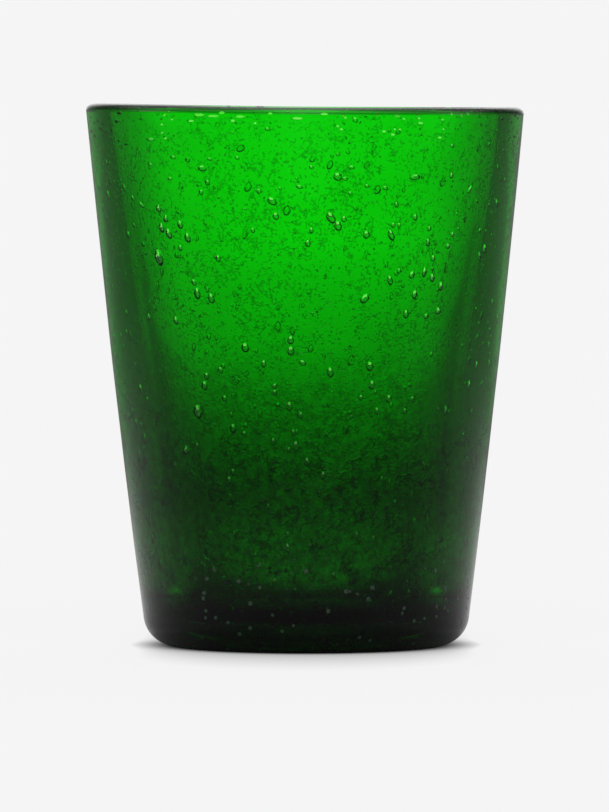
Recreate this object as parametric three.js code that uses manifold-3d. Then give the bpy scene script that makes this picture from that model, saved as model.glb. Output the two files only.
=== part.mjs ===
// Bubble tumbler, mouth blown in deep green glass
// Millimetres, +Z up. The origin is the middle of the foot, on the table.
// Two gathers of glass make the wall. The inner one is blown first and dusted,
// the outer one is taken over it, and the air caught between them stays as bubbles.

import * as THREE from 'three';
import { mergeVertices } from 'three/addons/utils/BufferGeometryUtils.js';
import Module from 'manifold-3d';

// Outside
const height = 105;
const mouthDiameter = 85;
const footDiameter = 61.8; // where the side would meet the table without its rounded edge
const sideSwell = 0.45; // how far the side stands proud of a straight taper, half way up
const footRound = 6;
const puntDiameter = 34; // the hollow under the foot
const puntDepth = 1.2;

// Inside
const rimWall = 4.2;
const footWall = 7;
const floorHeight = 5.5; // the bowl's floor above the table
const bowlRound = 8;
const lipRound = 1.7;

// Inner gather, as far as the layer of bubbles
const innerAtRim = 1.9;
const innerAtFloor = 2.8;
const seam = 0.05; // clearance between the two gathers, which are fused in the glass

// Bubbles
const bubbleCount = 40;
const longestBubble = 2.6;
const shortestBubble = 1.2;
const bubbleWidthShare = 0.62; // of its own length
const bubbleDepthShare = 0.35; // of its own length, through the wall
const bubbleCover = 0.6; // glass left between a bubble and the skin of its gather
const bubbleFreeLip = 9; // no large bubble this close to the lip
const leanAtLip = Math.PI / 2; // at the lip a bubble is drawn out level
const leanGrowth = 4; // power of the height with which the lean sets in

// Fineness of the solids
const aroundSteps = 60;
const sideSteps = 7;
const footRoundSteps = 6;
const bowlRoundSteps = 6;
const lipRoundSteps = 4;
const puntSteps = 3;
const bubbleDetail = 1;

// Steps of an even but unordered spread in two directions
const spreadUp = 0.7548777;
const spreadAround = 0.5698403;
const spreadSize = 0.618034;

const ballRadius = 0.5; // a ball one millimetre across, before it is drawn out
const slopeStep = 0.1; // height over which a slope is measured
const weldDistance = 1e-4;
const lipShareOfLayer = 0.9; // a lip round never takes up its whole layer

const glassColour = new THREE.Color().setRGB(0.02, 0.4, 0.03);

// Outline of the outside and of the bowl, as a radius for each height
function outsideRadius(z) {
  const rise = z / height;
  const taper = THREE.MathUtils.lerp(footDiameter / 2, mouthDiameter / 2, rise);
  return taper + sideSwell * 4 * rise * (1 - rise);
}

function wallAt(z) {
  return THREE.MathUtils.lerp(footWall, rimWall, (z / height) ** 2);
}

function bowlRadius(z) {
  return outsideRadius(z) - wallAt(z);
}

function innerLayerAt(z) {
  return THREE.MathUtils.lerp(innerAtFloor, innerAtRim, (z / height) ** 2);
}

function leanOf(radiusAt, z) {
  return Math.atan((radiusAt(z + slopeStep) - radiusAt(z)) / slopeStep);
}

// A round, given by its centre, its radius and the two directions it runs between
function arc(centre, radius, from, to, steps) {
  const points = [];
  for (let i = 0; i <= steps; i += 1) {
    const angle = THREE.MathUtils.lerp(from, to, i / steps);
    const x = centre.x + radius * Math.cos(angle);
    const y = centre.y + radius * Math.sin(angle);
    points.push(new THREE.Vector2(x, y));
  }
  return points;
}

function sidePoints(radiusAt, low, high) {
  const points = [];
  for (let i = 1; i < sideSteps; i += 1) {
    const z = THREE.MathUtils.lerp(low, high, i / sideSteps);
    points.push(new THREE.Vector2(radiusAt(z), z));
  }
  return points;
}

// A floor, a round corner and a side, from the axis up to the given height
function cupLine(radiusAt, floor, round, steps, top) {
  const corner = floor + round;
  const lean = leanOf(radiusAt, corner);
  const centre = new THREE.Vector2(radiusAt(corner) - round / Math.cos(lean), corner);
  const rounded = arc(centre, round, -Math.PI / 2, -lean, steps);
  const sideStart = rounded[rounded.length - 1].y;
  return [new THREE.Vector2(0, floor), ...rounded, ...sidePoints(radiusAt, sideStart, top)];
}

const lip = Math.min(lipRound, lipShareOfLayer * Math.min(innerAtRim, rimWall - innerAtRim));
const lipHeight = height - lip;

function outsideLip() {
  const lean = leanOf(outsideRadius, lipHeight);
  const centre = new THREE.Vector2(outsideRadius(lipHeight) - lip / Math.cos(lean), lipHeight);
  return arc(centre, lip, -lean, Math.PI / 2, lipRoundSteps);
}

function bowlLip() {
  const lean = leanOf(bowlRadius, lipHeight);
  const centre = new THREE.Vector2(bowlRadius(lipHeight) + lip / Math.cos(lean), lipHeight);
  return arc(centre, lip, Math.PI - lean, Math.PI / 2, lipRoundSteps);
}

// The layer of bubbles lies one inner gather out from the bowl's surface
function bowlLine() {
  return cupLine(bowlRadius, floorHeight, bowlRound, bowlRoundSteps, lipHeight);
}

function seamRadius(z) {
  return bowlRadius(z) + innerLayerAt(z);
}

function seamLine(shift) {
  const radiusAt = (z) => seamRadius(z) + shift;
  const floor = floorHeight - innerAtFloor - shift;
  const round = bowlRound + innerAtFloor + shift;
  const line = cupLine(radiusAt, floor, round, bowlRoundSteps, height);
  return [...line, new THREE.Vector2(radiusAt(height), height)];
}

function footLine() {
  const puntRadius = puntDiameter / 2;
  const punt = [];
  for (let i = 0; i <= puntSteps; i += 1) {
    const share = i / puntSteps;
    punt.push(new THREE.Vector2(puntRadius * share, puntDepth * (1 - share ** 2)));
  }
  const [, ...side] = cupLine(outsideRadius, 0, footRound, footRoundSteps, lipHeight);
  return [...punt, ...side];
}

// Solids
const manifold = await Module();
manifold.setup();

function solidFrom(geometry) {
  const bare = geometry.clone();
  bare.deleteAttribute('normal');
  bare.deleteAttribute('uv');
  const welded = mergeVertices(bare, weldDistance);
  const corners = welded.index.array;
  const faces = [];
  for (let i = 0; i < corners.length; i += 3) {
    const [a, b, c] = corners.slice(i, i + 3);
    if (a !== b && b !== c && c !== a) {
      faces.push(a, b, c);
    }
  }
  const mesh = new manifold.Mesh({
    numProp: 3,
    vertProperties: new Float32Array(welded.attributes.position.array),
    triVerts: new Uint32Array(faces),
  });
  return new manifold.Manifold(mesh);
}

function geometryFrom(solid) {
  const mesh = solid.getMesh();
  const geometry = new THREE.BufferGeometry();
  geometry.setAttribute('position', new THREE.BufferAttribute(mesh.vertProperties, 3));
  geometry.setIndex(new THREE.BufferAttribute(mesh.triVerts, 1));
  geometry.computeVertexNormals();
  return geometry;
}

function turned(line) {
  const geometry = new THREE.LatheGeometry(line, aroundSteps);
  geometry.rotateX(Math.PI / 2);
  return solidFrom(geometry);
}

// A place on the layer of bubbles, at a share of its area from the middle of the floor
const layerLine = seamLine(0).filter((point) => point.y <= height - bubbleFreeLip);

function placeOnLayer(share) {
  const areas = [0];
  for (let i = 1; i < layerLine.length; i += 1) {
    const run = layerLine[i].distanceTo(layerLine[i - 1]);
    areas.push(areas[i - 1] + run * (layerLine[i].x + layerLine[i - 1].x));
  }
  const wanted = share * areas[areas.length - 1];
  const step = areas.findIndex((area) => area >= wanted);
  const along = (wanted - areas[step - 1]) / (areas[step] - areas[step - 1]);
  const low = layerLine[step - 1];
  const high = layerLine[step];
  return {
    point: new THREE.Vector2().lerpVectors(low, high, along),
    upward: new THREE.Vector2().subVectors(high, low).normalize(),
  };
}

function partOfOne(value) {
  return value - Math.floor(value);
}

// Each bubble is a ball drawn out along the wall. It stands upright near the foot
// and leans over towards the lip, where the wall was opened and turned.
function bubble(number) {
  const { point, upward } = placeOnLayer(partOfOne(number * spreadUp));
  const turn = 2 * Math.PI * partOfOne(number * spreadAround);
  const size = partOfOne(number * spreadSize) ** 2;
  const length = THREE.MathUtils.lerp(shortestBubble, longestBubble, size);
  const layer = Math.min(innerLayerAt(point.y), wallAt(point.y) - innerLayerAt(point.y));
  const depth = Math.min(length * bubbleDepthShare, 2 * (layer - bubbleCover));

  const outward = new THREE.Vector3(Math.cos(turn), Math.sin(turn), 0);
  const around = new THREE.Vector3(-Math.sin(turn), Math.cos(turn), 0);
  const up = new THREE.Vector3(0, 0, upward.y).addScaledVector(outward, upward.x);
  const through = new THREE.Vector3().crossVectors(around, up);

  const lean = leanAtLip * (point.y / height) ** leanGrowth;
  const along = up.clone().multiplyScalar(Math.cos(lean)).addScaledVector(around, -Math.sin(lean));
  const across = new THREE.Vector3().crossVectors(along, through);

  const place = new THREE.Matrix4().makeBasis(across, along, through);
  place.scale(new THREE.Vector3(length * bubbleWidthShare, length, depth));
  place.setPosition(outward.multiplyScalar(point.x).setZ(point.y));
  return solidFrom(new THREE.IcosahedronGeometry(ballRadius, bubbleDetail).applyMatrix4(place));
}

function withPockets(gather) {
  let pocketed = gather;
  for (let number = 1; number <= bubbleCount; number += 1) {
    pocketed = pocketed.subtract(bubble(number));
  }
  return pocketed;
}

// The inner gather holds the bowl's surface and the inner half of the lip
function innerGather() {
  const skin = [...bowlLine(), ...bowlLip()];
  const back = seamLine(-seam / 2);
  return withPockets(turned([...back, ...skin.reverse()]));
}

// The outer gather holds the outside, the outer half of the lip and the thick foot
function outerGather() {
  const skin = [...footLine(), ...outsideLip()];
  const back = seamLine(seam / 2);
  return withPockets(turned([...skin, ...back.reverse()]));
}

function glassPiece(name, solid) {
  const material = new THREE.MeshStandardMaterial({
    color: glassColour,
    roughness: 0.06,
    metalness: 0,
    transparent: true,
    opacity: 0.85,
  });
  const mesh = new THREE.Mesh(geometryFrom(solid), material);
  mesh.name = name;
  return mesh;
}

const tumbler = new THREE.Group();
tumbler.add(glassPiece('inner_gather', innerGather()));
tumbler.add(glassPiece('outer_gather', outerGather()));

export default tumbler;
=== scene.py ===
# %% [markdown]
# This notebook models a bubble tumbler: a heavy, flared drinking glass of deep green
# glass, blown by mouth, with air bubbles of every size caught in its wall. The packed
# solids are loaded first and never moved. They give the frame, in metres, with +Z up
# and the middle of the foot at the origin, so everything below is placed by its size.

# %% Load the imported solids
import math
import random

import bpy
from mathutils import Matrix, Vector


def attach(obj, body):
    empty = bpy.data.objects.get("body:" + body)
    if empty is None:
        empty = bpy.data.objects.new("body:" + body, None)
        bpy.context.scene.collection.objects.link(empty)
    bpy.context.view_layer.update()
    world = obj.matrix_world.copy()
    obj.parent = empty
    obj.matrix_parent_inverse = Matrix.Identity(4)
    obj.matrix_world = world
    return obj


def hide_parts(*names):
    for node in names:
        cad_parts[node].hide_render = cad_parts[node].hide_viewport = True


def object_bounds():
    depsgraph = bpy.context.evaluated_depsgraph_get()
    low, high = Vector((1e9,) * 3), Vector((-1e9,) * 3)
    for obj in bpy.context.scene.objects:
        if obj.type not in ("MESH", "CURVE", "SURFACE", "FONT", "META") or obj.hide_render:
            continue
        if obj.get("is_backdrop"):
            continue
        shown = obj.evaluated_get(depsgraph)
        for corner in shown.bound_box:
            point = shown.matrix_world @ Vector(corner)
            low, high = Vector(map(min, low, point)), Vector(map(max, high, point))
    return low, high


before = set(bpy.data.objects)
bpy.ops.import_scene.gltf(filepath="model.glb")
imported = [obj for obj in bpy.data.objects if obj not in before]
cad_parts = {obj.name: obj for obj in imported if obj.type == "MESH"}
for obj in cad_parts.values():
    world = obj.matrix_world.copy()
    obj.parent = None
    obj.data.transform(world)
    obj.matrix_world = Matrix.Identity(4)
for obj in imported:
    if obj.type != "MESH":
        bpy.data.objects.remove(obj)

cad_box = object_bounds()
print("solids from", list(cad_box[0]), "to", list(cad_box[1]))

# %% [markdown]
# The real glass is thick at the foot and thinner at the lip, and its side is a straight
# taper with a hint of swell. One short function gives the outside and one the bowl. The
# sizes repeat those of the solids, so the fine surface lies in the same place.

# %% Sizes of the glass
MM = 0.001
HEIGHT = 105 * MM
MOUTH_RADIUS = 42.5 * MM
FOOT_RADIUS = 30.9 * MM
SIDE_SWELL = 0.45 * MM
FOOT_ROUND = 6 * MM
PUNT_RADIUS = 17 * MM
PUNT_DEPTH = 1.2 * MM
RIM_WALL = 4.2 * MM
FOOT_WALL = 7 * MM
FLOOR_HEIGHT = 5.5 * MM
BOWL_ROUND = 8 * MM
LIP_REACH = 2.05 * MM
LIP_ROUND = 1.2 * MM


def outside(z):
    rise = z / HEIGHT
    return FOOT_RADIUS + (MOUTH_RADIUS - FOOT_RADIUS) * rise + SIDE_SWELL * 4 * rise * (1 - rise)


def bowl(z):
    return outside(z) - FOOT_WALL - (RIM_WALL - FOOT_WALL) * (z / HEIGHT) ** 2


def lean_of(side, z):
    step = 0.1 * MM
    return math.atan((side(z + step) - side(z)) / step)


print("wall at the lip", round((outside(HEIGHT) - bowl(HEIGHT)) / MM, 2), "mm")

# %% [markdown]
# The section of the glass is one line that runs from the hollow under the foot, round
# the standing ring, up the outside, over the lip and down the bowl to the middle of its
# floor. Light bends at every point of it, so the rounds get many small steps.

# %% The line of the section
PUNT_STEPS = 8
FOOT_STEPS = 12
SIDE_STEPS = 36
LIP_STEPS = 10
BOWL_STEPS = 12
FLOOR_STEPS = 5


def arc(centre_r, centre_z, radius, start, end, steps):
    turns = [start + (end - start) * i / steps for i in range(steps + 1)]
    return [(centre_r + radius * math.cos(t), centre_z + radius * math.sin(t)) for t in turns]


def cup(side, floor, corner, corner_steps):
    lean = lean_of(side, floor + corner)
    centre_r = side(floor + corner) - corner / math.cos(lean)
    line = arc(centre_r, floor + corner, corner, -math.pi / 2, -lean, corner_steps)
    low = line[-1][1]
    top = HEIGHT - LIP_ROUND
    shares = [(1 - math.cos(math.pi * i / SIDE_STEPS)) / 2 for i in range(1, SIDE_STEPS)]
    heights = [low + (top - low) * share for share in shares]
    return line + [(side(z), z) for z in heights]


def lip(side, sign):
    """A quarter of a flat round that leaves the side without a kink."""
    centre_z = HEIGHT - LIP_ROUND
    start = -sign * math.atan(LIP_ROUND * math.tan(lean_of(side, centre_z)) / LIP_REACH)
    low = centre_z + LIP_ROUND * math.sin(start)
    centre_r = side(low) - sign * LIP_REACH * math.cos(start)
    turns = [start + (math.pi / 2 - start) * i / LIP_STEPS for i in range(LIP_STEPS + 1)]
    return [(centre_r + sign * LIP_REACH * math.cos(t), centre_z + LIP_ROUND * math.sin(t)) for t in turns]


punt = [
    (PUNT_RADIUS * i / PUNT_STEPS, PUNT_DEPTH * (1 - (i / PUNT_STEPS) ** 2))
    for i in range(PUNT_STEPS + 1)
]
inner = cup(bowl, FLOOR_HEIGHT, BOWL_ROUND, BOWL_STEPS) + lip(bowl, -1)
inner.reverse()
floor_line = [(inner[-1][0] * (1 - i / FLOOR_STEPS), FLOOR_HEIGHT) for i in range(1, FLOOR_STEPS + 1)]
section = punt + cup(outside, 0, FOOT_ROUND, FOOT_STEPS) + lip(outside, 1) + inner + floor_line
print("section of", len(section), "points")

# %% [markdown]
# A blown glass is turned on the pipe all the time it is soft, so its body is a figure of
# revolution. By hand this is a point that is extruded along the section and then spun
# round the axis. The spin's last row meets the first one, so the doubles are merged and
# the normals worked out again.

# %% Turn the body
AROUND_STEPS = 96
MERGE_DISTANCE = 0.002 * MM


def deselect():
    bpy.ops.object.select_all(action="DESELECT")


def start_point(name):
    deselect()
    bpy.ops.mesh.primitive_plane_add(size=MM, location=(0, 0, 0))
    piece = bpy.context.object
    piece.name = name
    bpy.ops.object.mode_set(mode="EDIT")
    bpy.ops.mesh.select_all(action="SELECT")
    bpy.ops.mesh.merge(type="CENTER")
    bpy.ops.mesh.select_mode(type="VERT")
    bpy.ops.mesh.select_all(action="SELECT")
    return piece


def turned(name, line, steps):
    piece = start_point(name)
    bpy.ops.transform.translate(value=(line[0][0], 0, line[0][1]))
    for here, there in zip(line, line[1:]):
        step = (there[0] - here[0], 0, there[1] - here[1])
        bpy.ops.mesh.extrude_region_move(TRANSFORM_OT_translate={"value": step})
    bpy.ops.mesh.select_all(action="SELECT")
    bpy.ops.mesh.spin(steps=steps, angle=2 * math.pi, center=(0, 0, 0), axis=(0, 0, 1))
    bpy.ops.mesh.select_all(action="SELECT")
    bpy.ops.mesh.remove_doubles(threshold=MERGE_DISTANCE)
    bpy.ops.mesh.normals_make_consistent(inside=False)
    bpy.ops.object.mode_set(mode="OBJECT")
    bpy.ops.object.shade_smooth()
    return piece


glass = turned("tumbler_glass", section, AROUND_STEPS)
print("body of", len(glass.data.polygons), "faces")

# %% [markdown]
# No two blown glasses are alike: the wall is a little uneven, and the highlights on it
# waver. A displacement by soft clouds, weighted by height, gives this to the walls and
# leaves the standing ring flat, so the glass still stands true on the table.

# %% Let the wall waver
WAVER = 0.16 * MM
WAVER_SIZE = 22 * MM
WAVER_FROM = 8 * MM
WAVER_FULL = 25 * MM


def weigh(piece, name, weight_at):
    group = piece.vertex_groups.new(name=name)
    for vertex in piece.data.vertices:
        group.add([vertex.index], weight_at(vertex.co), "REPLACE")
    return name


def apply_displace(piece, **settings):
    deselect()
    piece.select_set(True)
    bpy.context.view_layer.objects.active = piece
    modifier = piece.modifiers.new("shift", "DISPLACE")
    for key, value in settings.items():
        setattr(modifier, key, value)
    bpy.ops.object.modifier_apply(modifier=modifier.name)


def smooth(value, low, high):
    share = min(1, max(0, (value - low) / (high - low)))
    return share * share * (3 - 2 * share)


clouds = bpy.data.textures.new("soft clouds", "CLOUDS")
clouds.noise_scale = WAVER_SIZE
clouds.noise_depth = 1
walls = weigh(glass, "walls", lambda place: smooth(place.z, WAVER_FROM, WAVER_FULL))
apply_displace(glass, texture=clouds, strength=WAVER, mid_level=0.5, vertex_group=walls)
print("highest point", round(max(v.co.z for v in glass.data.vertices) / MM, 2), "mm")

# %% [markdown]
# A bubble in the wall is a hollow in the glass, so it belongs to the same mesh, with its
# faces turned towards the air inside. Seen through the green, a real one is a thin dark
# outline round a clear middle, with a pale glint at its upper left. A plain ball of a
# few faces would show none of that. The bubble is therefore turned from a section with
# a flat face towards the viewer, a slope round it, full sides and a flat back, and the
# rings between them are marked sharp, so that each keeps its own shading.

# %% Sections of the bubbles
BUBBLE_SECTION = [(0, 0.48), (0.27, 0.475), (0.43, 0.29), (0.5, -0.05), (0.37, -0.4), (0, -0.46)]
DASH_SECTION = [(0, 0.48), (0.44, 0.475), (0.48, 0.3), (0.5, -0.05), (0.4, -0.4), (0, -0.46)]
FACE, SLOPE, BACK = 0.4, 0.2, -0.3  # the face lies above the first, the slope above the second
SAME_HEIGHT = 0.001


def select_none(piece):
    for part in (piece.data.polygons, piece.data.edges, piece.data.vertices):
        part.foreach_set("select", [False] * len(part))


def mark_sharp_rings(piece):
    select_none(piece)
    for edge in piece.data.edges:
        low, high = sorted(piece.data.vertices[end].co.z for end in edge.vertices)
        edge.select = high - low < SAME_HEIGHT and not BACK < low < SLOPE
    bpy.ops.object.mode_set(mode="EDIT")
    bpy.ops.mesh.select_mode(type="EDGE")
    bpy.ops.mesh.mark_sharp()
    bpy.ops.object.mode_set(mode="OBJECT")


print("points in a bubble's section", len(BUBBLE_SECTION))

# %% [markdown]
# The face is shifted down to the right, which widens the slope at the upper left, where
# the glint is. In the real glass the glint is a spot of the curved wall that turns the
# studio's light back whole. A mesh this plain has no such spot, so the points of that
# slope are marked, and the material makes a mirror of them. It shows the pale ceiling
# only where it leans up by 10 to 18 degrees: less shows the dim wall, and more keeps
# the light inside the glass. The dashes under the lip glint over their whole face.

# %% Shift the face and mark the glint
GLINT = "glint"
FACE_SHIFT = Vector((-0.05, 0.1, 0))
DASH_SHIFT = FACE_SHIFT * 0.4
GLINT_SPREAD = 0.6  # cosine of the angle to either side that still glints
MIDDLE = 0.1


def shift_face(piece, step):
    select_none(piece)
    for vertex in piece.data.vertices:
        vertex.select = vertex.co.z > FACE
    bpy.ops.object.mode_set(mode="EDIT")
    bpy.ops.mesh.select_mode(type="VERT")
    bpy.ops.transform.translate(value=step)
    bpy.ops.object.mode_set(mode="OBJECT")


def slope_glint(place):
    aside = Vector((place.x, place.y, 0))
    towards_light = -aside.dot(FACE_SHIFT) > GLINT_SPREAD * aside.length * FACE_SHIFT.length
    return 1.0 if place.z > SLOPE and aside.length > MIDDLE and towards_light else 0.0


def face_glint(place):
    return 1.0 if place.z > FACE else 0.0


print("the face shifts by", round(FACE_SHIFT.length, 3), "of a bubble's width")

# %% [markdown]
# One bubble of each kind is modelled, a metre across, and copied later: a fine one for
# the large bubbles, plainer ones for the small ones and the dashes, and a bare ball of
# twenty faces for the seeds that show as a few grains of light. A bubble drawn out with
# the wall is fuller at its lower end, so the upper half is pinched a little.

# %% Model one bubble of each kind
AIR = "air"
BALL_RADIUS = 0.5
PINCH = 0.82
PINCH_FROM = 0.15
LARGE_AROUND, SMALL_AROUND, DASH_AROUND = 16, 8, 10


def mark(piece, name, values):
    layer = piece.data.attributes.new(name, "FLOAT", "POINT")
    layer.data.foreach_set("value", values)


def finish_bubble(piece, glints):
    select_none(piece)
    for vertex in piece.data.vertices:
        vertex.select = vertex.co.z > PINCH_FROM
    bpy.ops.object.mode_set(mode="EDIT")
    bpy.ops.mesh.select_mode(type="VERT")
    bpy.ops.transform.resize(value=(PINCH, 1, 1), center_override=(0, 0, 0))
    bpy.ops.mesh.select_all(action="SELECT")
    bpy.ops.mesh.normals_make_consistent(inside=True)
    bpy.ops.object.mode_set(mode="OBJECT")
    bpy.ops.object.shade_smooth()
    mark(piece, AIR, [1.0] * len(piece.data.vertices))
    mark(piece, GLINT, glints)
    return piece


def turned_bubble(name, line, around, glint_rule, step):
    piece = turned(name, line, around)
    mark_sharp_rings(piece)
    glints = [glint_rule(vertex.co) for vertex in piece.data.vertices]
    shift_face(piece, step)
    deselect()
    piece.select_set(True)
    bpy.context.view_layer.objects.active = piece
    piece.rotation_euler = (-math.pi / 2, 0, 0)
    bpy.ops.object.transform_apply(location=False, rotation=True, scale=False)
    return finish_bubble(piece, glints)


large = turned_bubble("large_bubble", BUBBLE_SECTION, LARGE_AROUND, slope_glint, FACE_SHIFT)
small = turned_bubble("small_bubble", BUBBLE_SECTION, SMALL_AROUND, slope_glint, FACE_SHIFT)
dash = turned_bubble("dash_bubble", DASH_SECTION, DASH_AROUND, face_glint, DASH_SHIFT)
deselect()
bpy.ops.mesh.primitive_ico_sphere_add(subdivisions=1, radius=BALL_RADIUS)
seed = finish_bubble(bpy.context.object, [0.0] * len(bpy.context.object.data.vertices))
mark(glass, AIR, [0.0] * len(glass.data.vertices))
mark(glass, GLINT, [0.0] * len(glass.data.vertices))
print("faces of one bubble", [len(piece.data.polygons) for piece in (large, small, dash, seed)])

# %% [markdown]
# Every bubble keeps clear of the skin, or it would open to the air. This function says
# how deep a place lies inside the section, and which way the nearest skin runs there,
# because a bubble is drawn out along the skin and flattened through the wall.

# %% Measure the room inside the wall
edges = list(zip(section, section[1:]))


def room_at(r, z):
    nearest, along, inside = 1.0, (0, 1), False
    for (r0, z0), (r1, z1) in edges:
        dr, dz = r1 - r0, z1 - z0
        share = ((r - r0) * dr + (z - z0) * dz) / (dr * dr + dz * dz)
        share = min(1, max(0, share))
        gap = math.hypot(r - r0 - share * dr, z - z0 - share * dz)
        if gap < nearest:
            length = math.hypot(dr, dz)
            nearest, along = gap, (dr / length, dz / length)
        if (z0 > z) != (z1 > z) and r < r0 + (z - z0) * dr / dz:
            inside = not inside
    return (nearest if inside else -nearest), along


print("room in mid-wall", round(room_at(outside(0.05) - 3 * MM, 0.05)[0] / MM, 2), "mm")

# %% [markdown]
# Near the foot the bubbles stand upright, as they rose in the gather. Towards the lip
# they lean over and at last lie level, because there the wall was opened while it
# turned. The side of the glass faces down by 6 degrees, so each bubble is tipped up by
# as much to look level, and a dash by 18, which turns its face to the ceiling. The three
# axes form a right-handed set, or the hollow would be turned inside out, and the lean is
# taken back before the stretch, so the shifted face still points down to the right.
# Bubbles don't run into each other, so each new one asks those around it for room.

# %% Say where a bubble lies
SKIN = 0.35 * MM
TIP = math.radians(6)
DASH_TIP = math.radians(18)
LEVEL, LEAN_POWER = 90, 4
CELL = 3 * MM
SEED = 11
random.seed(SEED)
taken = {}


def cell_of(place):
    return tuple(math.floor(value / CELL) for value in place)


def is_free(place, reach):
    x, y, z = cell_of(place)
    for key in [(x + i, y + j, z + k) for i in (-1, 0, 1) for j in (-1, 0, 1) for k in (-1, 0, 1)]:
        for other, other_reach in taken.get(key, []):
            if (other - place).length < reach + other_reach:
                return False
    return True


def bubble_frame(r, z, turn, lean, width, length, depth, tip=TIP):
    """The matrix that carries a ball one metre across to its place in the wall."""
    room, (dr, dz) = room_at(r, z)
    if room < SKIN + depth / 2:
        return None
    if dz < 0:
        dr, dz = -dr, -dz
    outward = Vector((math.cos(turn), math.sin(turn), 0))
    around = Vector((-math.sin(turn), math.cos(turn), 0))
    up = outward * dr + Vector((0, 0, dz))
    flat_through = around.cross(up)
    through = flat_through * math.cos(tip) + up * math.sin(tip)
    up = up * math.cos(tip) - flat_through * math.sin(tip)
    along = up * math.cos(lean) - around * math.sin(lean)
    across = through.cross(along)
    place = outward * r + Vector((0, 0, z))
    reach = (length + width) / 4
    if not is_free(place, reach):
        return None
    taken.setdefault(cell_of(place), []).append((place, reach))
    stretch = Matrix((across * width, through * depth, along * length)).transposed()
    turn_part = stretch @ Matrix.Rotation(-lean, 3, "Y")
    return Matrix.Translation(place) @ turn_part.to_4x4()


def lean_at(z, play):
    return math.radians(LEVEL * (z / HEIGHT) ** LEAN_POWER + random.uniform(-play, play))


print("lean at half height", round(LEVEL * 0.5 ** LEAN_POWER, 1), "degrees, at the lip", LEVEL)

# %% [markdown]
# The photograph is taken from just above the height of the lip, almost level, through a
# long lens, so the lip is a thin line and the sides hardly converge. The lip of the real
# glass isn't quite level: it sinks a little to one side, where the glass was cracked off
# and melted round again. The upper wall follows, and the highest point stays where it is.
# With both, a point of the wall can be followed to where it shows.

# %% Follow a point of the wall to the photograph
CAMERA_DISTANCE = 1.68
CAMERA_HEIGHT = 0.109
CAMERA_ASIDE = -0.00036
AIM_HEIGHT = 0.0463
LENS, SENSOR = 384.5, 36  # mm
PHOTO_WIDTH, PHOTO_HEIGHT = 609, 812  # pixels
LIP_SINKS = 1.2 * MM
LIP_TILT = 0.65
LEANS = 0.3 * MM
SINK_FROM = 50 * MM
FRONT = -90

pitch = math.atan((CAMERA_HEIGHT - AIM_HEIGHT) / CAMERA_DISTANCE)


def sink_share(x, y, z):
    to_the_right = (x / MOUTH_RADIUS + 1) / 2
    across = (y / MOUTH_RADIUS) ** 2
    return min(1, LIP_TILT * to_the_right + (1 - LIP_TILT) * across) * smooth(z, SINK_FROM, HEIGHT)


def lean_share(z):
    return min(1, max(0, z / HEIGHT))


def shows_at(degrees, z, depth):
    """The pixel at which a point that lies so deep under the skin shows."""
    turn = math.radians(FRONT + degrees)
    r = outside(z) - depth
    x, y = r * math.cos(turn), r * math.sin(turn)
    aside = x - LEANS * lean_share(z) - CAMERA_ASIDE
    ahead = y + CAMERA_DISTANCE
    above = z - LIP_SINKS * sink_share(x, y, z) - CAMERA_HEIGHT
    distance = ahead * math.cos(pitch) - above * math.sin(pitch)
    rise = ahead * math.sin(pitch) + above * math.cos(pitch)
    scale = LENS / SENSOR * PHOTO_HEIGHT / distance
    return PHOTO_WIDTH / 2 + scale * aside, PHOTO_HEIGHT / 2 - scale * rise


print("top of the front shows at", [round(value) for value in shows_at(0, HEIGHT, 0)])
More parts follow.
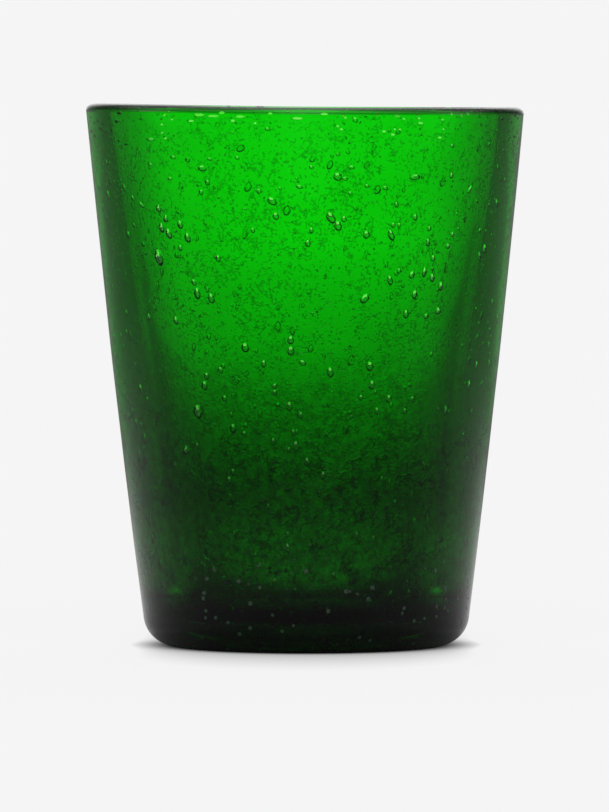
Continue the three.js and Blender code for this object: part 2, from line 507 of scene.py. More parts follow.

# %% [markdown]
# The largest bubbles of the front are what one knows this glass by, so they are placed
# one by one. They were read on enlarged parts of the photograph: across and down in its
# pixels, then length, width and tilt. Under the lip the bubbles are drawn out level into
# dashes. The brightest are read in the same way, but after the length come two values
# judged in millimetres: how far the dash is lowered to stay clear of the lip's round, and
# its width. Where the last values are left out, they are the usual ones below.

# %% Bubbles read one by one
BUBBLES_SEEN = [
    (272.4, 201, 10, 6.6, -59), (276, 216, 7.2, 5.8, -25), (253.4, 230, 5, 4, -20),
    (203.6, 168, 8, 5.4, -80), (189.4, 237.4, 10, 5.4, -25), (181.8, 224, 8.5, 5, -25),
    (171, 233.4, 11, 5, -30), (164, 227.6, 10, 5, -25), (160.8, 208, 8, 4.5, -35),
    (168, 218, 7, 4, -25), (144, 204.4, 6, 4, -60), (131.6, 234.4, 7, 3, -15),
    (182.4, 247.4, 6, 3.6, -25), (161, 257, 17, 7, -25), (212.6, 298, 10, 6, -20),
    (199, 293, 11, 6, -10), (195.6, 282, 7, 4, -40), (219.4, 258.4, 7, 4.6, -20),
    (178, 320, 8, 4.5, -25), (151.4, 316.6, 7, 4, -15), (202.6, 192, 5, 4.4), (209, 182.4, 5.2, 4.6),
    (153, 164, 4.5, 3, -75), (175, 157, 5.4, 3.6, -80), (153, 139, 8, 3.4, -88),
    (172, 178, 4.6, 3.2, -80), (238, 157.6, 4.4, 3.4, -70), (236.6, 163, 7.5, 6, 20),
    (211, 158.6, 5, 3, -85), (268, 129, 5, 3, -85), (259.4, 191, 5, 4, -60),
    (299.4, 186.6, 6.4, 3.6, -80), (330.6, 217.6, 12, 7.4, -35), (337.6, 225.6, 9.4, 7, -10),
    (343.2, 219, 6, 5), (311.2, 230, 5.6, 4.2), (307.6, 243, 6.6, 5), (365.6, 234.4, 7.6, 6.6),
    (390, 234.6, 11, 6, -25), (350.8, 167, 6.4, 3.6, -85), (413.4, 177, 10, 5.6, 85),
    (413.6, 217, 6, 4.6), (426, 242, 8, 4.2, -10), (481.4, 248.4, 9, 4), (422.4, 272, 10, 4.4, 10),
    (388.6, 280, 9.4, 5.4, -15), (384, 188, 5.4, 4, -80), (366, 186, 4.4, 3.6, -70),
    (311.4, 167, 4.6, 3.6, -70), (337, 176.4, 8.4, 7.4, -60), (344.4, 178.6, 5.2, 3.6, -80),
    (349.6, 193, 4.6, 3.6, -70), (392, 225, 5, 4.4), (397.6, 225, 4.4, 4), (427.4, 228.4, 4.8, 3.6),
    (450, 234, 5, 3.6), (431, 258, 6.2, 4.4), (410, 274.6, 7.6, 5, 30), (430, 277.6, 8, 5),
    (397.4, 270.6, 5.2, 4), (438.6, 286, 9, 4.6, 10), (413, 294, 8.4, 5, 20), (404.6, 314, 8.4, 5.4),
    (436, 310.6, 7, 5, 40), (424, 316, 5.4, 4.4), (445.6, 246, 5.2, 3.6), (364, 298, 10, 7, 45),
    (449, 175, 6, 4), (467, 189, 6.4, 4, 45), (291, 340, 7.8, 6.2), (291, 350.7, 8.4, 7.2),
    (246, 347, 9, 7, -20), (264.5, 363.7, 7, 5), (222, 370, 6.4, 4.6, -30), (302.5, 362.5, 7, 5, -70),
    (330, 372, 9.4, 6.4, -10), (371, 385, 8.4, 6.2), (368.7, 366, 9, 7), (208, 376, 6.4, 4.6, -10),
    (206, 385, 8.4, 6, -10), (199.5, 411, 13, 8, -15), (225.7, 398, 5.8, 5), (275, 386, 5.2, 4.4),
    (275, 392.6, 5.4, 4.6), (289.5, 406, 8.4, 6.6), (300.7, 415, 6.4, 5), (234, 428, 8.4, 6.4),
    (245, 433.7, 5, 4.4), (293.7, 432.5, 6.2, 5), (296, 446, 9.6, 7.2), (289, 449.6, 5, 4.2),
    (306.7, 461.7, 7.6, 5.6), (323, 475, 7.4, 5.2, 10), (230, 480, 7.4, 5.6), (234, 472, 6.4, 5),
    (188, 450, 8.4, 5.4), (273.7, 441, 6, 4.6), (198.7, 445.7, 5.4, 3.6), (375.7, 411, 6.4, 4.8),
    (403, 411, 5.4, 4), (387.5, 398.7, 7.4, 5.4), (360, 397.5, 5.4, 4.4), (410.7, 398.7, 4.8, 4),
    (143.7, 388.7, 9.4, 3, -10), (473, 365, 8.4, 2.6, 5), (465.7, 385, 9.4, 3, 5),
    (443, 410, 8.4, 3.6, 5), (139.5, 423, 8.4, 2.8, -5), (142.5, 453.7, 7.4, 2.4, -10),
    (269, 507, 6, 4.4, -20), (288, 548, 8.4, 6, -10), (356, 535, 6, 4.6), (275, 581.7, 6.2, 5),
    (333, 575, 4.8, 4), (231.7, 496.7, 5.4, 3.4), (288, 534, 5, 4),
]
DASHES_SEEN = [
    (120.5, 109, 4.85, 0.6, 0.8), (199.5, 109, 10, 1, 0.7), (213, 113, 12, 0.6, 0.5),
    (222, 109, 6, 0.8, 0.5), (207, 115.3, 10, 0.6, 0.5), (211, 118, 4, 0.5, 0.5), (191, 120.3, 6),
    (165.5, 113.5, 4, 0.2), (169, 111, 3.7, 0.3), (173, 119, 3), (163, 124.3, 3),
    (163, 132.5, 3, 0, 0.5), (153, 138.5, 5, 0, 0.7), (166.5, 137.5, 3), (105, 124, 3, 0, 0.5),
    (239.5, 114.7, 9, 0.4, 0.55), (233.5, 120, 4.1, 0.2, 0.55), (271, 109.7, 5, 0.8, 0.4),
    (297, 118.3, 11, 0, 0.55), (324, 110.5, 8, 0.8), (325, 118, 6, 0.1), (301, 112, 4, 0.6),
    (343, 114, 3, 0.1), (345, 117, 3, 0.2), (354, 117.5, 3, 0.1), (268, 129, 4), (342, 129, 3),
    (338, 125.5, 3, 0, 0.4), (397, 113.5, 6, 0.4), (404, 117.8, 3, 0.2), (419, 118, 3, 0.1),
    (419, 123.2, 5, 0, 0.55), (442, 119.3, 3), (383, 130.8, 3.6, 0, 0.5), (394, 129.5, 2.5),
    (400, 129, 3), (392.5, 134, 4, 0, 0.5), (439.5, 137.4, 5), (442.5, 129, 2.5),
    (460.5, 111, 3.5, 0.8, 0.5), (467, 109.7, 2.5, 0.8), (500.5, 118.5, 3.5, 0, 0.5),
    (479.5, 112, 2, 0.5), (509, 122, 3, 0, 0.5), (256, 123.3, 3), (377, 112.3, 3, 0.5),
    (416.5, 113, 2.5, 0.3), (451, 109, 2.5, 1),
]
print("read by eye", len(BUBBLES_SEEN), "bubbles and", len(DASHES_SEEN), "dashes")

# %% [markdown]
# Each reading is carried to the wall by steps: where a first guess shows too far aside or
# too low, it is moved by as much, until it shows where the bubble was seen. Round the
# side the wall is seen at a slant, so a size that runs round the glass is larger than it
# looks. The results are rounded, because the eye reads no finer.

# %% Carry the readings to the wall
PIXELS_PER_MM = 5.2
READ_DEPTH, DASH_READ_DEPTH = 1.1 * MM, 0.6 * MM
FIRST_HEIGHT = 50 * MM
STEPS_TO_PLACE = 60
MOST_ASIDE = 0.995
MOST_SLANTED = 0.35
LEVEL_FROM = 0.7
PER_DEGREE, PER_MM = 2, 5  # a dash is placed to half a degree and a fifth of a millimetre
DASH_LONGER = 1.15  # its ends are lost in the green
DASH_MOST_SLANTED = 0.5


def place_of(px, py, depth):
    """Degrees to the right of the front, and height."""
    degrees, z = 0.0, FIRST_HEIGHT
    for _ in range(STEPS_TO_PLACE):
        shown_x, shown_y = shows_at(degrees, z, depth)
        z += (shown_y - py) / PIXELS_PER_MM * MM
        aside = math.sin(math.radians(degrees))
        aside += (px - shown_x) / PIXELS_PER_MM * MM / (outside(z) - depth)
        degrees = math.degrees(math.asin(max(-MOST_ASIDE, min(MOST_ASIDE, aside))))
    return degrees, z


def bubble_read(px, py, length, width, tilt=0):
    degrees, z = place_of(px, py, READ_DEPTH)
    slant = max(MOST_SLANTED, math.cos(math.radians(degrees)))
    is_level = abs(math.sin(math.radians(tilt))) > LEVEL_FROM
    length /= PIXELS_PER_MM * (slant if is_level else 1)
    width /= PIXELS_PER_MM * (1 if is_level else slant)
    return round(degrees, 1), round(z / MM, 1), round(length, 2), round(width, 2), tilt


def dash_read(px, py, length, lowered=0, width=0.45):
    degrees, z = place_of(px, py, DASH_READ_DEPTH)
    degrees = round(degrees * PER_DEGREE) / PER_DEGREE
    height = round(z / MM * PER_MM) / PER_MM - lowered
    length *= DASH_LONGER / PIXELS_PER_MM / max(DASH_MOST_SLANTED, math.cos(math.radians(degrees)))
    return degrees, round(height, 1), round(length, 1), width


NAMED_BUBBLES = [bubble_read(*reading) for reading in BUBBLES_SEEN]
NAMED_DASHES = [dash_read(*reading) for reading in DASHES_SEEN]
print("large bubbles", len(NAMED_BUBBLES), "and dashes", len(NAMED_DASHES), "placed by eye")

# %% [markdown]
# The bubbles that are placed one by one lie just under the skin, where the green over
# them is thin and their glints stay pale. All are flattened through the wall: their
# thickness is a share of their height as they lie, so one that lies level is thinner. The
# large ones are made a little larger than they look, because their rim is lost in the green.

# %% Lay out the bubbles of the front
SHALLOW, DASH_DEPTH = 0.8 * MM, 0.62 * MM
GROWN, DASH_GROWN = 1.12, 0.95
FLAT, DASH_FLAT = 0.3, 0.26
COVER = 0.6  # share of a bubble's thickness between its middle and the glass over it


def size_of(width, length, lean, share=FLAT):
    """Width, length and thickness."""
    upright = length * math.cos(lean) ** 2 + width * math.sin(lean) ** 2
    return width, length, share * upright


def depth_under_skin(thickness):
    return max(SHALLOW, SKIN + COVER * thickness)


def named_places():
    for degrees, z, length, width, tilt in NAMED_BUBBLES:
        turn = math.radians(FRONT + degrees)
        lean = math.radians(-tilt)
        size = size_of(width * GROWN * MM, length * GROWN * MM, lean)
        r = outside(z * MM) - depth_under_skin(size[2])
        yield bubble_frame(r, z * MM, turn, lean, *size)


def named_dashes():
    for degrees, z, length, width in NAMED_DASHES:
        turn = math.radians(FRONT + degrees)
        width = width * DASH_GROWN * MM
        size = (width, length * DASH_GROWN * MM, DASH_FLAT * width)
        yield bubble_frame(outside(z * MM) - DASH_DEPTH, z * MM, turn, math.pi / 2, *size, DASH_TIP)


print("a level bubble is", round(size_of(1, 2, math.pi / 2)[2], 2), "of its width thick")

# %% [markdown]
# The rest are scattered by chance from a fixed seed, so each run gives the same glass.
# Small ones fill the whole wall and the foot, more of them near the skin than deep in
# the glass, and most of them near the small end of their range of sizes.

# %% Scatter the small bubbles
FULL, ROUND = 0.34, 0.6  # thickness as a share of the height
LOWEST = 5 * MM
BOWL_SIDE = 1 * MM
NEAR_SKIN, MOSTLY_SMALL = 1.5, 2.2  # powers that crowd the chances at the low end
ROUNDER = 0.2


def tries(count, try_one):
    """As many frames as asked for, out of tries that may find no room."""
    made = 0
    while made < count:
        frame_of = try_one()
        if frame_of is not None:
            made += 1
            yield frame_of


def scattered_bubble(longest, shortest, roundness, play, depth_share, top=HEIGHT):
    z = random.uniform(LOWEST, top)
    thickest = min(outside(z), outside(z) - bowl(z) + BOWL_SIDE)
    reach = outside(z) if z < FLOOR_HEIGHT else thickest
    r = outside(z) - reach * random.random() ** NEAR_SKIN
    if random.random() > r / outside(z):
        return None
    length = shortest + (longest - shortest) * random.random() ** MOSTLY_SMALL
    width = length * random.uniform(roundness, roundness + ROUNDER)
    turn = random.uniform(0, 2 * math.pi)
    lean = lean_at(z, play)
    return bubble_frame(r, z, turn, lean, *size_of(width, length, lean, depth_share))


print("lowest bubble", round(LOWEST / MM, 1), "mm above the table")

# %% [markdown]
# Large bubbles lie near the skin in a belt round the glass, and dashes in a narrow belt
# under the lip. Both leave the front free for those that are placed one by one.

# %% Scatter large bubbles and dashes
FRONT_HALF = 0.95  # radians to either side of the front that are left out
BELT = (14 * MM, 95 * MM)
SHORTEST, LONGER = 1.1, 1.3  # in millimetres, like the pairs below
SIDE_ROUNDNESS, SIDE_DEPTH = (0.6, 0.8), (0, 0.6)
SIDE_PLAY = 20
DASH_BELOW_LIP, DASH_UNDER_SKIN = (1.4, 8), (0.5, 0.9)
DASH_LENGTH, DASH_WIDTH = (0.6, 2.2), (0.4, 0.7)
DASH_LEAN = (86, 94)


def turn_not_in_front():
    return math.radians(FRONT) + random.uniform(FRONT_HALF, 2 * math.pi - FRONT_HALF)


def side_bubble():
    z = random.uniform(*BELT)
    length = (SHORTEST + LONGER * random.random() ** 2) * MM
    lean = lean_at(z, SIDE_PLAY)
    size = size_of(length * random.uniform(*SIDE_ROUNDNESS), length, lean)
    r = outside(z) - depth_under_skin(size[2]) - random.uniform(*SIDE_DEPTH) * MM
    return bubble_frame(r, z, turn_not_in_front(), lean, *size)


def scattered_dash():
    z = HEIGHT - random.uniform(*DASH_BELOW_LIP) * MM
    r = outside(z) - random.uniform(*DASH_UNDER_SKIN) * MM
    length = random.uniform(*DASH_LENGTH) * MM
    width = random.uniform(*DASH_WIDTH) * MM
    turn = turn_not_in_front()
    lean = math.radians(random.uniform(*DASH_LEAN))
    return bubble_frame(r, z, turn, lean, width, length, DASH_FLAT * width, DASH_TIP)


print("belt of large bubbles from", [round(z / MM) for z in BELT], "mm")

# %% [markdown]
# Every copy has its own mesh, carried to its place by one matrix. The order matters: a
# bubble that finds its place taken is left out or tried elsewhere, so those that are
# placed one by one come first and the finest seeds come last.

# %% Make all the bubbles
def copy_bubbles(master, places):
    copies = []
    for frame_of in places:
        if frame_of is None:
            continue
        mesh = master.data.copy()
        mesh.transform(frame_of)
        copy = bpy.data.objects.new(master.name, mesh)
        bpy.context.collection.objects.link(copy)
        copies.append(copy)
    return copies


def small_bubble(longest=1.25 * MM, top=HEIGHT):
    return scattered_bubble(longest, 0.6 * MM, roundness=0.65, play=25, depth_share=FULL, top=top)


def low_bubble():
    return small_bubble(1.2 * MM, top=0.45 * HEIGHT)


def scattered_seed():
    return scattered_bubble(0.7 * MM, 0.28 * MM, roundness=0.55, play=60, depth_share=ROUND)


bubbles = copy_bubbles(large, named_places()) + copy_bubbles(dash, named_dashes())
print("bubbles placed by eye", len(bubbles))
scattered = [
    (large, 210, side_bubble), (dash, 110, scattered_dash), (small, 620, small_bubble),
    (small, 170, low_bubble), (seed, 3300, scattered_seed),
]
for master, count, try_one in scattered:
    bubbles += copy_bubbles(master, tries(count, try_one))
print("bubbles", len(bubbles))

# %% [markdown]
# Joined to the glass, the hollows are part of one closed skin, as in the real wall: a ray
# that meets one leaves the glass there and enters it again on the other side. The four
# bubbles that were copied have done their work and go.

# %% Join the bubbles to the glass
deselect()
for piece in bubbles + [glass]:
    piece.select_set(True)
bpy.context.view_layer.objects.active = glass
bpy.ops.object.join()
for piece in (large, small, dash, seed):
    bpy.data.objects.remove(piece, do_unlink=True)
print("glass of", sum(len(face.vertices) - 2 for face in glass.data.polygons), "triangles")

# %% [markdown]
# With its bubbles in place the wall is leant and lowered by the two shares from above,
# so the bubbles go with it.

# %% Let the lip sink to one side
leant = weigh(glass, "leant", lambda place: lean_share(place.z))
apply_displace(glass, direction="X", strength=-LEANS, mid_level=0, vertex_group=leant)
lowered = weigh(glass, "lowered", lambda place: sink_share(*place))
apply_displace(glass, direction="Z", strength=-LIP_SINKS, mid_level=0, vertex_group=lowered)
print("lip sinks by", round(LIP_SINKS / MM, 2), "mm")

# %% [markdown]
# Shader maths reads better as an expression than as a row of nodes. A Wire is one output
# socket, and adding or multiplying wires adds the Math nodes that do it. A Board is the
# node tree, and its method add puts in any other node: the type, its settings, and what
# goes into its sockets. Two short forms of it, fade and part, serve the nodes that come
# up most: a soft step between two values, and one part of a vector.

# %% A small language for shaders
class Wire:
    def __init__(self, board, socket):
        self.board = board
        self.socket = socket

    def maths(self, operation, *others):
        inputs = dict(enumerate([self, *others]))
        return self.board.add("ShaderNodeMath", {"operation": operation}, inputs)

    def __add__(self, other):
        return self.maths("ADD", other)

    __radd__ = __add__

    def __mul__(self, other):
        return self.maths("MULTIPLY", other)

    __rmul__ = __mul__

    def __sub__(self, other):
        return self.maths("SUBTRACT", other)

    def __rsub__(self, other):
        return self * -1 + other

    def __truediv__(self, other):
        return self.maths("DIVIDE", other)

    def __pow__(self, other):
        return self.maths("POWER", other)


class Board:
    def __init__(self, tree):
        self.tree = tree
        tree.nodes.clear()

    def add(self, kind, settings=None, inputs=None, output=0):
        node = self.tree.nodes.new(kind)
        for key, value in (settings or {}).items():
            if key == "stops":
                self.set_stops(node.color_ramp, value)
            else:
                setattr(node, key, value)
        for key, value in (inputs or {}).items():
            if isinstance(value, Wire):
                self.tree.links.new(value.socket, node.inputs[key])
            else:
                node.inputs[key].default_value = value
        return Wire(self, node.outputs[output]) if node.outputs else None

    def set_stops(self, ramp, stops):
        while len(ramp.elements) < len(stops):
            ramp.elements.new(1.0)
        for element, (place, colour) in zip(ramp.elements, stops):
            element.position = place
        for element, (place, colour) in zip(ramp.elements, stops):
            element.color = colour

    def fade(self, value, low, high):
        inputs = {"Value": value, "From Min": low, "From Max": high}
        return self.add("ShaderNodeMapRange", {"interpolation_type": "SMOOTHSTEP"}, inputs)

    def part(self, vector, letter):
        return self.add("ShaderNodeSeparateXYZ", {}, {0: vector}, letter)


print("shader language ready")

# %% [markdown]
# Green glass swallows red and blue within a millimetre or two and lets green through, so
# the colour is an absorption in the volume: the thick foot and the edges turn dark by
# themselves, and a bubble near the skin stays pale. Towards the foot a grey tint of the
# surface, set at a dozen heights with renders laid beside the photograph, darkens the
# wall further. That is partly the real wall, which holds more fine seeds low down and
# lets less light through, and partly painted shade for the dim ground that the lower
# wall shows. The lip is thin and would come out white, so its tint takes away some red
# and more blue.

# %% Colour of the glass
ABSORPTION = 800
RED_LOST, GREEN_LOST, BLUE_LOST = 740, 22, 740
# grey tint by height, darker towards the foot: partly seedier glass, partly painted shade
TINT_AND_SHADE = [
    (0.0, 0.02), (0.07, 0.03), (0.105, 0.33), (0.187, 0.55), (0.28, 0.42), (0.37, 0.59), (0.46, 0.72),
    (0.55, 0.83), (0.645, 0.88), (0.74, 0.97), (0.87, 0.96), (1.0, 0.95),
]
LIP_RED, LIP_BLUE = 0.5, 0.7
LIP_FROM = (0.97, 0.985)  # shares of the height, like SPECKS_END, FOOT_TOP and LOW_DOWN
COLOUR_A, COLOUR_B, COLOUR_OUT = 6, 7, 2  # the sockets of the Mix node that hold colours


def blend(board, share, first, second, kind="MIX"):
    inputs = {"Factor": share, COLOUR_A: first, COLOUR_B: second}
    return board.add("ShaderNodeMix", {"data_type": "RGBA", "blend_type": kind}, inputs, COLOUR_OUT)


def skin_colour(board, height, shade):
    stops = [(share, (value, value, value, 1)) for share, value in TINT_AND_SHADE]
    # the tint by height darkens the foot, partly as painted shade
    tint = board.add("ShaderNodeValToRGB", {"stops": stops}, {"Fac": height}, "Color")
    lip = board.fade(height, *LIP_FROM)
    parts = {0: shade * (1 - lip * LIP_RED), 1: shade, 2: shade * (1 - lip * LIP_BLUE)}
    return blend(board, 1.0, tint, board.add("ShaderNodeCombineColor", {}, parts), "MULTIPLY")


def swallowed_light(board):
    kept = [1 - lost / ABSORPTION for lost in (RED_LOST, GREEN_LOST, BLUE_LOST)]
    return board.add("ShaderNodeVolumeAbsorption", {}, {"Color": (*kept, 1), "Density": ABSORPTION})


print("green lost in a centimetre", round(1 - math.exp(-GREEN_LOST * 10 * MM), 2))

# %% [markdown]
# The smallest seeds are finer than any mesh should hold, so they are dark specks of the
# tint. Most are short, wavy strokes: a noise near its middle value draws long winding
# lines, and a second noise tears them to pieces. Low down bolder strokes join them, and
# the round dots are the middles of Voronoi cells. A slow drift gathers them all in
# clouds, as the dust lay on the gather, and the lip stays free of them.

# %% Specks for the finest seeds
STROKE_SIZE, BOLD_SIZE, DOT_SIZE = 1.25 * MM, 2.1 * MM, 1.1 * MM
FINE_WIDTH, BOLD_WIDTH = 0.06, 0.09
FINE_DARK, BOLD_DARK, DOT_DARK = 0.55, 0.75, 0.45
TORN_SCALE = 0.7
TORN = (0.6, 0.68)
DRIFT_PULL, DRIFT_CHANCE, BOLD_MORE = 0.8, 1.6, 0.05
DOT_EDGE = (0.1, 0.28)
DOTS_SCARCE, SCARCE_SOFT = 1.3, 0.1
SPECKS_END = (0.93, 0.97)


def noise(board, place, scale, detail):
    return board.add("ShaderNodeTexNoise", {}, {"Vector": place, "Scale": scale, "Detail": detail}, 0)


def strokes(board, place, size, width, drift):
    wavy = noise(board, place, 1 / size, 1)
    torn = noise(board, place, TORN_SCALE / size, 2)
    line = 1 - board.fade((wavy - 0.5).maths("ABSOLUTE"), width / 4, width)
    return line * board.fade(torn + (drift - 0.5) * DRIFT_PULL, *TORN)


def dots(board, place, size, drift, scarce):
    cells = {"Vector": place, "Scale": 1 / size, "Randomness": 1}
    near = board.add("ShaderNodeTexVoronoi", {}, cells, "Distance")
    chance = board.part(board.add("ShaderNodeTexVoronoi", {}, cells, "Color"), "X")
    present = board.fade(chance + drift * DRIFT_CHANCE, scarce, scarce + SCARCE_SOFT)
    return (1 - board.fade(near, *DOT_EDGE)) * present


def specks(board, place, height, drift, low_down):
    fine = strokes(board, place, STROKE_SIZE, FINE_WIDTH, drift) * FINE_DARK
    bold = strokes(board, place, BOLD_SIZE, BOLD_WIDTH, drift + BOLD_MORE) * low_down * BOLD_DARK
    round_ones = dots(board, place, DOT_SIZE, drift, DOTS_SCARCE) * DOT_DARK
    below_lip = 1 - board.fade(height, *SPECKS_END)
    return fine.maths("MAXIMUM", bold).maths("MAXIMUM", round_ones) * below_lip


print("strokes about", round(STROKE_SIZE / MM, 2), "mm long, low down", round(BOLD_SIZE / MM, 2), "mm")

# %% [markdown]
# Cloudy patches darken the lower wall, where the seeds are too many to tell apart. Just
# under the skin of the foot some bubbles scatter the light and show as soft pale dots:
# there the surface turns to a rough, grey-green mirror. The specks and the drift also
# dent the skin by a few hundredths of a millimetre, so that the light behind them wavers.

# %% Patches, pale dots in the foot and relief
PATCH_SIZE, SHALLOW_SIZE = 1.7 * MM, 2.1 * MM
PATCHY = (0.42, 0.62)
PATCH_DARK = 0.4
FOOT_TOP = (0.1, 0.2)
SHALLOW_SCARCE = 1.4
SHALLOW_GREY = (0.1, 0.18, 0.11, 1)
RELIEF = 0.025 * MM
DRIFT_RELIEF = 0.4


def patches(board, place, low_down):
    return board.fade(noise(board, place, 1 / PATCH_SIZE, 2), *PATCHY) * low_down * PATCH_DARK


def foot_dots(board, place, height, drift):
    return dots(board, place, SHALLOW_SIZE, drift, SHALLOW_SCARCE) * (1 - board.fade(height, *FOOT_TOP))


def dented(board, drift, speck, skin):
    dents = (drift * DRIFT_RELIEF - speck) * skin
    return board.add("ShaderNodeBump", {}, {"Strength": 1.0, "Distance": RELIEF, "Height": dents})


print("relief of", round(RELIEF / MM, 3), "mm")

# %% [markdown]
# The walls of the bubbles carry no tint, for they only part glass from air. Their marked
# points are the mirrors for the glints, and only on the side of the glass, because light
# is turned back whole on its way out of glass and never on its way in. The mirror has a
# pale green of its own. Low down it is darkened to a dull grey-green, which is painted
# shade for the less light that reaches the bubbles there.

# %% Glints of the bubbles
GLINT_EDGE = (0.6, 0.9)
GLINT_GREEN = (0.42, 1, 0.25, 1)
# the mirror's colour low down, darkened as painted shade
GLINT_PAINTED_SHADE = (0.26, 0.36, 0.22, 1)
NO_TINT = (1, 1, 1, 1)


def marked(board, name):
    return board.add("ShaderNodeAttribute", {"attribute_name": name}, {}, "Fac")


def glint_share(board):
    from_glass = board.add("ShaderNodeNewGeometry", {}, {}, "Backfacing")
    return board.fade(marked(board, GLINT), *GLINT_EDGE) * from_glass


def bubble_colour(board, glint, low_down):
    # low down the mirror colour blends into the painted shade
    return blend(board, glint, NO_TINT, blend(board, low_down, GLINT_GREEN, GLINT_PAINTED_SHADE))


print("points marked as glints", sum(one.value > 0 for one in glass.data.attributes[GLINT].data))

# %% [markdown]
# Now the finishes go together in one material. Glass is a Principled surface that lets
# all light through, polished by the flame, with a hint of haze where the seeds are
# dense. What varies goes into its colour, roughness, metallic share and normal only.

# %% Put the green glass together
DRIFT_SCALE = 140
LOW_DOWN = (0.3, 0.62)
HAZY = (0.35, 0.75)
HAZE, SHALLOW_ROUGH = 0.01, 0.5
GLASS_IOR = 1.5


def green_glass():
    material = bpy.data.materials.new("green_glass")
    material.use_nodes = True
    board = Board(material.node_tree)
    place = board.add("ShaderNodeTexCoord", {}, {}, "Object")
    height = board.part(place, "Z") / HEIGHT
    drift = noise(board, place, DRIFT_SCALE, 3)
    low_down = 1 - board.fade(height, *LOW_DOWN)
    air = marked(board, AIR)
    speck = specks(board, place, height, drift, low_down)
    skin = skin_colour(board, height, (1 - patches(board, place, low_down)) * (1 - speck))
    glint = glint_share(board)
    clear = blend(board, air, skin, bubble_colour(board, glint, low_down))
    shallow = foot_dots(board, place, height, drift) * (1 - air)
    surface = board.add("ShaderNodeBsdfPrincipled", {}, {
        "Base Color": blend(board, shallow, clear, SHALLOW_GREY),
        "Roughness": board.fade(drift, *HAZY) * HAZE + shallow * SHALLOW_ROUGH,
        "Metallic": glint.maths("MAXIMUM", shallow),
        "Normal": dented(board, drift, speck, 1 - air),
        "Transmission Weight": 1.0, "IOR": GLASS_IOR,
    })
    parts = {"Surface": surface, "Volume": swallowed_light(board)}
    board.add("ShaderNodeOutputMaterial", {}, parts)
    return material


glass.data.materials.append(green_glass())
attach(glass, "root")
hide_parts("inner_gather", "outer_gather")
print("material slots", len(glass.data.materials))

# %% [markdown]
# Clear things have no look of their own: they show what is round them. Glass is lit
# from a pale ground behind it, with dark cards beside that ground, so the middle glows
# and the edges turn dark. Here the world and the table do this for all four sides of
# the glass, pale along the axes and dark between them. Two helpers serve both: one
# gives the pale lobes round the axes, and one tells the kinds of rays apart.

# %% Pale ground and dark cards
PALE = 0.913
DIM = 0.08
CARD_POWER = 3
NOT_ZERO = 1e-9


def lobes(board, vector, power):
    x, y = board.part(vector, "X"), board.part(vector, "Y")
    along = (x * x - y * y) / (x * x + y * y + NOT_ZERO)
    return (along * along) ** power


def rays(board):
    names = ("Is Camera Ray", "Is Glossy Ray", "Is Transmission Ray")
    return [board.add("ShaderNodeLightPath", {}, {}, name) for name in names]


def up_by(degrees):
    return math.sin(math.radians(degrees))


print("pale ground at", PALE, "and dark cards at", DIM)

# %% [markdown]
# The cards stand low. Above them hangs a pale ceiling, which the glints and the
# highlights show. The side of the camera is left dark for light that comes through the
# glass, as in a real studio. A ray that was mirrored last meets the full ceiling only
# straight before and behind the glass, or the whole skin would shine as grey.

# %% What the glass shows of the studio
CARDS_END = (up_by(10), up_by(40))
CEILING_FROM = (up_by(25), up_by(42))
CEILING = 1.1
CEILING_ASIDE = 0.4
ASIDE = (0.006, 0.05)
CAMERA_SIDE = (-0.8, -0.4)


def studio(board, direction, through_ray):
    x, y, rise = [board.part(direction, letter) for letter in "XYZ"]
    low = 1 - board.fade(rise, *CARDS_END)
    open_side = 1 - through_ray * (1 - board.fade(y, *CAMERA_SIDE))
    mirrored = board.add("ShaderNodeLightPath", {}, {}, "Is Reflection Ray")
    overhead = 1 - board.fade(x * x, *ASIDE)
    ceiling = board.fade(rise, *CEILING_FROM) * CEILING
    ceiling = ceiling * (1 - mirrored * (1 - CEILING_ASIDE) * (1 - overhead))
    cards = lobes(board, direction, CARD_POWER) * low * open_side
    return cards.maths("MAXIMUM", ceiling) * (PALE - DIM) + DIM


print("ceiling at", CEILING, "of the ground")

# %% [markdown]
# The camera sees the plain pale ground all round. The table gets a plain level of light,
# more from the front and the back than from the sides, which lays the soft shadow in
# front of the foot. The glass, which bends and mirrors rays, sees the studio.

# %% The world
DEPTH_LIGHT = 2

world = bpy.data.worlds.new("studio")
bpy.context.scene.world = world
world.use_nodes = True
board = Board(world.node_tree)
direction = board.add("ShaderNodeTexCoord", {}, {}, "Generated")
camera_ray, glossy_ray, through_ray = rays(board)
x, y = board.part(direction, "X"), board.part(direction, "Y")
by_glass = glossy_ray.maths("MAXIMUM", through_ray)
on_table = y * y / (x * x + y * y + NOT_ZERO) * DEPTH_LIGHT
unseen = by_glass * studio(board, direction, through_ray) + (1 - by_glass) * on_table
strength = camera_ray * PALE + (1 - camera_ray) * unseen
background = board.add("ShaderNodeBackground", {}, {"Color": (1, 1, 1, 1), "Strength": strength})
board.add("ShaderNodeOutputWorld", {}, {"Surface": background})
print("world level", PALE)

# %% [markdown]
# The table is the same pale ground. Seen through the glass it follows the cards, and it
# is what most rays through the lower wall end on, so the distance counts: very near the
# foot it is pale, or a look down into the bowl would be black, then dimmer, and far out
# as pale as the ground. The pale lobes are narrow near by, widest at 0.7 to 0.9 m and
# narrower again beyond, which shapes the dark edges at each height of the wall.

# %% The table seen through the glass
TABLE_DIM = 0.1
NEAR_SHARE, CLOSE_SHARE, AROUND_SHARE = 0.35, 0.85, 0.08
FAR_FROM, CLOSE_TO, AROUND_TO = (0.3, 1.6), (0.18, 0.32), (0.15, 0.3)  # metres from the glass
NEAR_POWER, WIDER, NARROWER = 4.6, 3.2, 1.8
WIDENS, NARROWS = (0.58, 0.7), (0.9, 1.25)


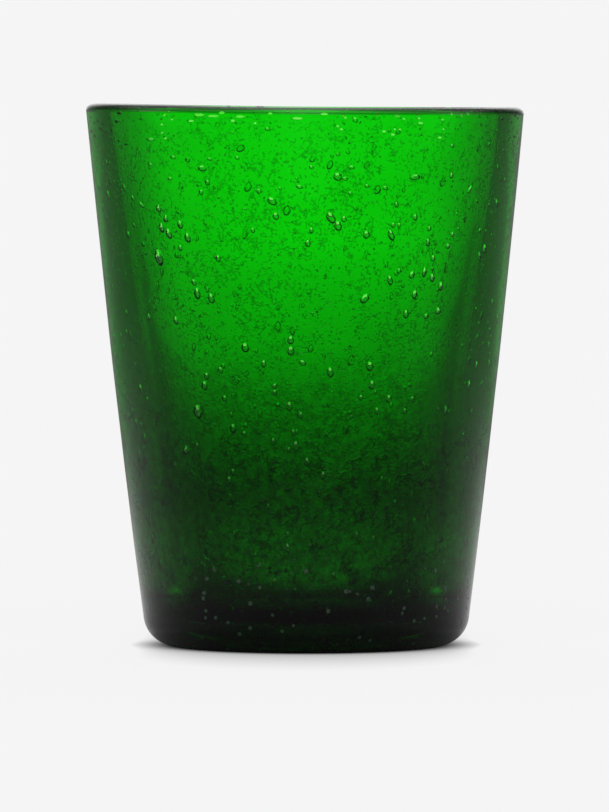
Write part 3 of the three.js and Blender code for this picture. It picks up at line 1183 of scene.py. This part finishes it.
def shown_through(board, place, away, backward):
    far = board.fade(away, *FAR_FROM) * (1 - NEAR_SHARE) + NEAR_SHARE
    close_by = (1 - board.fade(away, *CLOSE_TO)) * CLOSE_SHARE
    around = (1 - board.fade(away, *AROUND_TO)) * AROUND_SHARE
    wide = board.fade(away, *WIDENS) * WIDER - board.fade(away, *NARROWS) * NARROWER
    card = lobes(board, place, NEAR_POWER - wide) * far.maths("MAXIMUM", close_by)
    card = (card * board.fade(backward, *CAMERA_SIDE)).maths("MAXIMUM", around)
    return card * (PALE - TABLE_DIM) + TABLE_DIM


print("table through the glass from", TABLE_DIM, "to", PALE)

# %% [markdown]
# In reflections the table is dim in front, as the black cloth over the near edge of a
# studio table makes it, and pale beside and behind the glass, which draws the light
# line down its edges.

# %% The table mirrored in the skin
MIRROR_DIM, MIRROR_PALE, MIRROR_NEAR = 0.07, 0.4, 0.08
BESIDE_TO, UNDER_TO = (0.1, 0.6), (0.06, 0.2)
BEYOND = 0.3


def mirrored_by(board, away, backward):
    share = (backward + 1) * 0.5
    beside = 1 - board.fade(away, *BESIDE_TO)
    under = 1 - board.fade(away, *UNDER_TO)
    return share * share * (beside + BEYOND) * MIRROR_PALE + MIRROR_DIM + under * MIRROR_NEAR


print("table in reflections from", MIRROR_DIM, "up")

# %% [markdown]
# The camera sees the table in its plain colour. Its shadow is in small part real light
# and for the rest how closed in a place is. That is measured further in front of and
# behind the glass than beside it, so the shadow lies as it does in the photograph.

# %% The table
TABLE_RADIUS = 40
OTHER_LEVEL = 0.9
SHADOW_REACH, SHADOW_BEFORE = 4.5 * MM, 46 * MM
OWN_SHARE = 0.93


def pale_table():
    material = bpy.data.materials.new("pale_table")
    material.use_nodes = True
    board = Board(material.node_tree)
    place = board.add("ShaderNodeTexCoord", {}, {}, "Object")
    camera_ray, glossy_ray, through_ray = rays(board)
    away = board.add("ShaderNodeVectorMath", {"operation": "LENGTH"}, {0: place}, "Value")
    backward = board.part(place, "Y") / (away + 1e-6)
    through = through_ray * shown_through(board, place, away, backward)
    mirror = (1 - through_ray) * glossy_ray * mirrored_by(board, away, backward)
    other = 1 - camera_ray.maths("MAXIMUM", glossy_ray.maths("MAXIMUM", through_ray))
    level = camera_ray * PALE + (1 - camera_ray) * (through + mirror) + other * OTHER_LEVEL
    colour = board.add("ShaderNodeCombineColor", {}, {0: level, 1: level, 2: level})
    lit = board.add("ShaderNodeBsdfDiffuse", {}, {"Color": colour})
    reach = (backward * backward) ** 2 * (SHADOW_BEFORE - SHADOW_REACH) + SHADOW_REACH
    open_sky = board.add("ShaderNodeAmbientOcclusion", {"samples": 8}, {"Distance": reach}, "AO")
    own = board.add("ShaderNodeEmission", {}, {"Color": colour, "Strength": open_sky})
    own_share = 1 - camera_ray * (1 - OWN_SHARE)
    board.add("ShaderNodeOutputMaterial", {}, {
        "Surface": board.add("ShaderNodeMixShader", {}, {0: own_share, 1: lit, 2: own})})
    return material


deselect()
bpy.ops.mesh.primitive_circle_add(vertices=96, radius=TABLE_RADIUS, fill_type="NGON")
table = bpy.context.object
table.name = "table"
table.data.materials.append(pale_table())
table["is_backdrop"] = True
print("table radius", TABLE_RADIUS, "m")

# %% [markdown]
# The camera stands where the readings of the bubbles took it to be. Refracted light
# crosses many surfaces, so the paths are allowed more bounces than usual.

# %% Camera and light paths
CLIP_END = 100
BOUNCES = 32
GLOSSY_BOUNCES = 16

stand = (CAMERA_ASIDE, -CAMERA_DISTANCE, CAMERA_HEIGHT)
bpy.ops.object.camera_add(location=stand, rotation=(math.pi / 2 - pitch, 0, 0))
camera = bpy.context.object
camera.data.lens = LENS
camera.data.clip_end = CLIP_END

scene = bpy.context.scene
scene.camera = camera
scene.view_settings.view_transform = "Standard"
scene.cycles.max_bounces = BOUNCES
scene.cycles.transmission_bounces = BOUNCES
scene.cycles.transparent_max_bounces = BOUNCES
scene.cycles.glossy_bounces = GLOSSY_BOUNCES
print("camera pitch", round(math.degrees(pitch), 2), "degrees")

# %% [markdown]
# Last, the box of the solids and the box of the finished model are gathered side by
# side, and the box of the model is printed.

# %% Gather the sizes
visual_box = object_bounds()
boxes = {
    "cad": [list(corner) for corner in cad_box],
    "visual": [list(corner) for corner in visual_box],
}
print("visual box", boxes["visual"])
